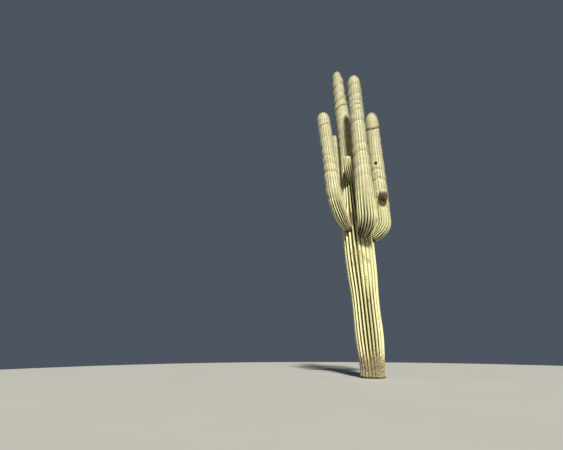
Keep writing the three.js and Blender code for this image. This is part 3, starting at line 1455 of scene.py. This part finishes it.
    def covers(self, places: np.ndarray) -> np.ndarray:
        """Tells which places lie inside this stem.

        Args:
            places: Places, one row each.

        Returns:
            True for each place inside.
        """
        distances, points = self.path.line()
        near = np.linalg.norm(places[:, None, :] - points[None, :, :], axis=2)
        closest = near.argmin(axis=1)
        inside = near[np.arange(len(places)), closest] < self.crest_radius(distances)[closest]
        return inside & (distances[closest] > self.start)

    def build_skin(self) -> None:
        """Builds the skin with its ribs, bends it and dresses it."""
        column = self.model_column()
        self.roughen(column)
        self.note_ribs(column)
        self.place_cushions(column)
        self.bend(column)
        if self.foot:
            self.flatten_foot(column)
        self.note_cork_and_shade(column)
        pick(column)
        bpy.ops.object.shade_smooth()
        column.data.materials.append(self.finish.build())
        if self.nest:
            scar = SCAR.build()
            self.nest.cut(column, scar)
            self.nest.build_rim(scar)
        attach(column, BODY)
        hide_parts(*self.nodes)
        log.info("%s: %d faces, %d cushions", column.name, len(column.data.polygons),
                 len(self.cushions.place))

    def build_spines(self, materials: list[bpy.types.Material]) -> None:
        """Builds the spines of all cushions, as joined closed needles.

        Args:
            materials: Spine materials, in the order of Tint.
        """
        count = len(self.cushions.place)
        draws = self.random.random(count)
        tints = np.where(draws < self.habit.brown + self.habit.grey, Tint.GREY, Tint.STRAW)
        tints = np.where(draws < self.habit.brown, Tint.BROWN, tints)
        for part, rows in enumerate(np.array_split(np.arange(count), self.parts)):
            needles = self.needles(self.cushions.keep(rows), tints[rows])
            piece = mesh_from_arrays(f"{self.name}_spines_{part + 1}", *needles)
            for material in materials:
                piece.data.materials.append(material)
            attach(piece, BODY)
            log.info("%s: %d faces", piece.name, len(piece.data.polygons))

    def needles(self, cushions: Cushions, tints: np.ndarray) -> tuple[np.ndarray, np.ndarray, np.ndarray]:
        """Works out the needles of some cushions.

        Args:
            cushions: The cushions.
            tints: Material number of each.

        Returns:
            Points, faces and the material number of each face.
        """
        habit, random = self.habit, self.random
        count, total = len(cushions.place), habit.fan + habit.centre
        shape = (count, total)
        old, young = habit.age_lengths
        sideways = np.cross(cushions.upward, cushions.outward)
        stray = random.uniform(-habit.jitter, habit.jitter, shape)
        turn = (np.arange(total) + stray) * 2 * math.pi / habit.fan
        lift = np.radians(random.uniform(*habit.fan_lift, shape))
        size = habit.length * random.uniform(*habit.lengths, shape)
        middle = np.arange(total) >= habit.fan
        lift = np.where(middle, np.radians(random.uniform(*habit.centre_lift, shape)), lift)
        swing = random.uniform(-habit.centre_swing, habit.centre_swing, shape)
        turn = np.where(middle, math.pi + swing, turn)
        size = np.where(middle, size * habit.centre_stretch, size) * (old + young * cushions.youth[:, None])
        size = size * (1 - habit.crease_loss * cushions.crease[:, None])
        across = (np.cos(turn)[..., None] * cushions.upward[:, None] +
                  np.sin(turn)[..., None] * sideways[:, None])
        point = np.cos(lift)[..., None] * across + np.sin(lift)[..., None] * cushions.outward[:, None]
        # Any direction would do here that no spine shares
        first = np.cross(point, cushions.upward[:, None] + 0.3 * sideways[:, None])
        first /= np.linalg.norm(first, axis=2, keepdims=True)
        second = np.cross(point, first)
        aside, over = habit.root
        root = cushions.place[:, None] + across * aside + cushions.outward[:, None] * over
        corners = [root + habit.radius * (math.cos(a) * first + math.sin(a) * second)
                   for a in (0, 2 * math.pi / 3, 4 * math.pi / 3)]
        points = np.stack([*corners, root + point * size[..., None]], axis=2).reshape(-1, 3)
        base = 4 * np.arange(count * total)[:, None, None]
        faces = (base + np.array([[0, 2, 1], [0, 1, 3], [1, 2, 3], [2, 0, 3]])).reshape(-1, 3)
        return points, faces, np.repeat(tints, total * 4)

    def pads(self) -> tuple[np.ndarray, np.ndarray]:
        """Works out the felt pads under the spines.

        Returns:
            Points and faces.
        """
        cushions = self.cushions
        tall, wide, over, under = self.habit.pad
        sides = 5
        sideways = np.cross(cushions.upward, cushions.outward)
        turn = 2 * math.pi * np.arange(sides) / sides
        ring = (cushions.place[:, None] + tall * np.cos(turn)[:, None] * cushions.upward[:, None] +
                wide * np.sin(turn)[:, None] * sideways[:, None])
        top = cushions.place + over * cushions.outward
        low = cushions.place - under * cushions.outward
        points = np.concatenate([ring, top[:, None], low[:, None]], axis=1).reshape(-1, 3)
        wheel = [[k, (k + 1) % sides] for k in range(sides)]
        shape = [[b, a, sides] for a, b in wheel] + [[a, b, sides + 1] for a, b in wheel]
        base = (sides + 2) * np.arange(len(cushions.place))[:, None, None]
        return points, (base + np.array(shape)).reshape(-1, 3)


def mm(*pairs: tuple[float, ...]) -> tuple[tuple[float, ...], ...]:
    """Distance and radius pairs in millimetres, as metres."""
    return tuple(tuple(value / 1000 for value in pair) for pair in pairs)


LEFT = ArmPath(root=2.85, bearing=-126, reach=0.625, rise=1.18, lean=(-0.045, 0.01), tip=6.36)
REAR = ArmPath(root=3.50, bearing=146, reach=0.414, rise=0.40, lean=(0.013, 0), tip=6.15)
FRONT = ArmPath(root=2.77, bearing=-67, reach=0.59, rise=0.34, lean=(0.034, -0.025), tip=7.25)
RIGHT = ArmPath(root=2.73, bearing=-4, reach=0.575, rise=0.41, lean=(0.046, 0), tip=6.42)
SMALL = ArmPath(root=4.27, bearing=-112.7, aside=0.125, reach=0.372, rise=0.325, lean=(0.055, 0), tip=4.893)


def make_trunk() -> Stem:
    """The trunk, with its corky foot.

    Returns:
        The stem, not built yet.
    """
    return Stem(
        "trunk", ("trunk",), "trunk_flesh", TRUNK_PATH, ribs=22, groove=0.21, dome=0.42,
        profile=mm((0, 258), (130, 238), (700, 280), (1430, 286), (2100, 328), (2700, 346), (3250, 326),
                   (3850, 270), (4800, 204), (5700, 180), (6900, 186), (7350, 172), (8000, 160),
                   (8700, 150)),
        waists=(Waist(6.98, 0.2, 0.04, 0.1, 105),), tilt=0.08, low_side=105,
        creases=((7.28, 0.9), (7.55, 1.0), (7.92, 1.0), (8.34, 1.0)),
        worn=(Worn(2.2, 0.7, -145, 42, 0.72), Worn(1.1, 0.5, -125, 25, 0.35)), start=0.0, ring_gap=0.19,
        finish=TRUNK_SKIN, habit=TRUNK_SPINES, seed=1, parts=2, foot=0.3, swell=0.035,
        scars=(Scar((-0.11, -0.28, 3.2), 0.16, 0.26, 0.75), Scar((0.16, -0.23, 2.2), 0.07, 0.12, 0.5),
               Scar((0.08, -0.26, 1.8), 0.06, 0.16, 0.45), Scar((0.1, -0.25, 1.38), 0.05, 0.1, 0.5)))


def make_arms() -> list[Stem]:
    """The five arms and the bud.

    Returns:
        The stems, not built yet, each after the one that bears it.
    """
    long_arm = {"slot": "arm_flesh", "ring_gap": 0.12, "finish": ARM_SKIN, "habit": ARM_SPINES}
    left_arm = {**long_arm, "habit": LEFT_SPINES}
    return [
        Stem("left_arm", ("left_arm_elbow", "left_arm_upright"), path=LEFT, ribs=18, groove=0.33, dome=0.29,
             profile=mm((0, 96), (330, 108), (620, 160), (1000, 176), (1500, 168), (2300, 152), (3800, 162),
                        (4300, 158)),
             waists=(Waist(3.27, 0.15, 0.036, 0.04, -120),), start=0.24, seed=2, **left_arm),
        Stem("rear_arm", ("rear_arm_elbow", "rear_arm_upright"), path=REAR, ribs=16, groove=0.19, dome=0.22,
             profile=mm((0, 72), (330, 80), (620, 103), (1200, 113), (2900, 109)),
             swell=0.018, start=0.26, seed=3, **long_arm),
        Stem("front_arm", ("front_arm_elbow", "front_arm_upright"), path=FRONT, ribs=18, groove=0.21,
             profile=mm((0, 130), (340, 150), (600, 203), (950, 212), (1700, 190), (2700, 172), (4300, 166),
                        (4900, 158)), dome=0.33, tilt=0.04, low_side=176,
             creases=((3.27, 1.0), (3.59, 0.7), (3.76, 0.9), (3.89, 0.7), (4.15, 0.8), (4.45, 1.0)),
             worn=(Worn(0.95, 0.4, -80, 30, 0.35),), start=0.24, seed=4, **long_arm),
        Stem("right_arm", ("right_arm_elbow", "right_arm_upright"), path=RIGHT, ribs=18, groove=0.21,
             profile=mm((0, 110), (340, 124), (600, 172), (1000, 182), (2000, 172), (3300, 158),
                        (4000, 158)), dome=0.32,
             waists=(Waist(3.515, 0.26, 0.034, 0.106, 176),), start=0.24, seed=5,
             worn=(Worn(0.95, 0.55, -150, 50, 0.55),),
             scars=(Scar((0.53, -0.096, 4.261), 0.02, 0.02, 1.0),),
             nest=NestHole(place=(0.654, -0.162, 4.659), outward=-128), **long_arm),
        Stem("small_arm", ("small_arm",), path=SMALL, ribs=12, groove=0.3, dome=0.115, slot="arm_flesh",
             profile=mm((0, 66), (190, 84), (370, 114), (560, 122), (850, 118)), under=0.15,
             swell=0.006, start=0.03, ring_gap=0.075, finish=ARM_SKIN, habit=SMALL_SPINES, seed=6),
        Stem("bud", ("bud",), path=BudPath(RIGHT), ribs=12, groove=0.2, dome=0.15, slot="bud_flesh",
             profile=mm((0, 44), (45, 76), (120, 102), (200, 105), (320, 105)), swell=0.0, cover=0.006,
             start=0.0, ring_gap=0.035, finish=BUD_SKIN, habit=BUD_SPINES, seed=7),
    ]


@dataclass
class Saguaro:
    """The whole plant: its stems, its spines and its felt pads."""

    stems: list[Stem] = field(default_factory=lambda: [make_trunk(), *make_arms()])

    def build(self) -> None:
        """Builds all stems, then what grows on them."""
        for stem in self.stems:
            stem.build_skin()
        self.clear_buried()
        materials = [finish.build() for finish in (SPINE_STRAW, SPINE_GREY, SPINE_BROWN)]
        for stem in self.stems:
            stem.build_spines(materials)
        self.build_pads("trunk_pads", self.stems[:1])
        self.build_pads("arm_pads", self.stems[1:])

    def clear_buried(self) -> None:
        """Drops the cushions that lie inside another stem."""
        for stem in self.stems:
            kept = np.ones(len(stem.cushions.place), dtype=bool)
            for other in self.stems:
                if other is not stem:
                    kept &= ~other.covers(stem.cushions.place)
            stem.cushions = stem.cushions.keep(kept)

    @staticmethod
    def build_pads(name: str, stems: list[Stem]) -> None:
        """Builds the felt pads of some stems as one piece.

        Args:
            name: The piece's name.
            stems: The stems.
        """
        points, faces, offset = [], [], 0
        for stem in stems:
            more_points, more_faces = stem.pads()
            points.append(more_points)
            faces.append(more_faces + offset)
            offset += len(more_points)
        all_faces = np.concatenate(faces)
        piece = mesh_from_arrays(name, np.concatenate(points), all_faces, np.zeros(len(all_faces)))
        piece.data.materials.append(FELT.build())
        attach(piece, BODY)
        log.info("%s: %d faces", piece.name, len(piece.data.polygons))


@dataclass(frozen=True)
class Studio:
    """Floor, light and the camera at the photograph's viewing angle.

    Attributes:
        distance: Level distance from the camera to the plant's foot.
        height: The camera's height above the floor.
        pitch: How far the camera looks up, in degrees.
        yaw: How far it looks to the left of the plant's foot, in degrees.
        lens: Focal length, with the camera's own sensor width.
        sensor: Sensor width.
        sun_bearing: Level direction that the key light travels, in degrees from +X towards +Y.
        sun_height: How high it stands, in degrees.
        sun_width: How wide it looks from the plant, in degrees.
        sun_energy: Its strength.
        sky_strength: Strength of the soft light from all round.
        floor_radius: Radius of the round floor.
    """

    distance: float = 6.2437
    height: float = 0.4306
    pitch: float = 24.42
    yaw: float = 16.06
    lens: float = 18.0
    sensor: float = 36.0
    sun_bearing: float = 111.0
    sun_height: float = 46.0
    sun_width: float = 6.0
    sun_energy: float = 6.0
    sky_strength: float = 0.24
    floor_radius: float = 10.0

    def build(self) -> None:
        """Sets up everything that isn't the plant."""
        self.add_floor()
        self.add_lights()
        self.add_camera()

    def add_floor(self) -> None:
        """Adds the plain pale floor."""
        deselect()
        bpy.ops.mesh.primitive_circle_add(vertices=192, radius=self.floor_radius, fill_type="NGON")
        floor = bpy.context.object
        floor.name = "floor"
        graph = Graph("floor_paint")
        cloud = graph.noise(graph.place(), 0.8, 2)
        graph.feed("Base Color", graph.mix(tone(160, 158, 153), tone(168, 166, 161), cloud))
        graph.feed("Roughness", 0.9)
        floor.data.materials.append(graph.material)

    def add_lights(self) -> None:
        """Adds the key light and the soft light from all round."""
        deselect()
        bpy.ops.object.light_add(type="SUN")
        key = bpy.context.object
        key.name = "key_light"
        key.rotation_euler = (math.radians(90 - self.sun_height), 0, math.radians(self.sun_bearing - 90))
        key.data.energy = self.sun_energy
        key.data.angle = math.radians(self.sun_width)
        key.data.color = (1.0, 0.985, 0.9)
        world = bpy.data.worlds.new("studio")
        world.use_nodes = True
        sky = world.node_tree.nodes["Background"]
        sky.inputs["Color"].default_value = tone(150, 166, 184)
        sky.inputs["Strength"].default_value = self.sky_strength
        bpy.context.scene.world = world
        # The usual view would turn pale skin grey
        bpy.context.scene.view_settings.view_transform = "Standard"

    def add_camera(self) -> None:
        """Adds the camera."""
        deselect()
        bpy.ops.object.camera_add(location=(0, -self.distance, self.height))
        camera = bpy.context.object
        camera.name = "camera"
        camera.rotation_euler = (math.radians(90 + self.pitch), 0, math.radians(self.yaw))
        camera.data.lens = self.lens
        camera.data.sensor_width = self.sensor
        camera.data.sensor_fit = "HORIZONTAL"
        camera.data.clip_end = 200
        bpy.context.scene.camera = camera


def main() -> None:
    """Builds the studio and the plant in order."""
    logging.basicConfig(level=logging.INFO, format="%(message)s")
    Studio().build()
    Saguaro().build()


if __name__ == "__main__":
    main()
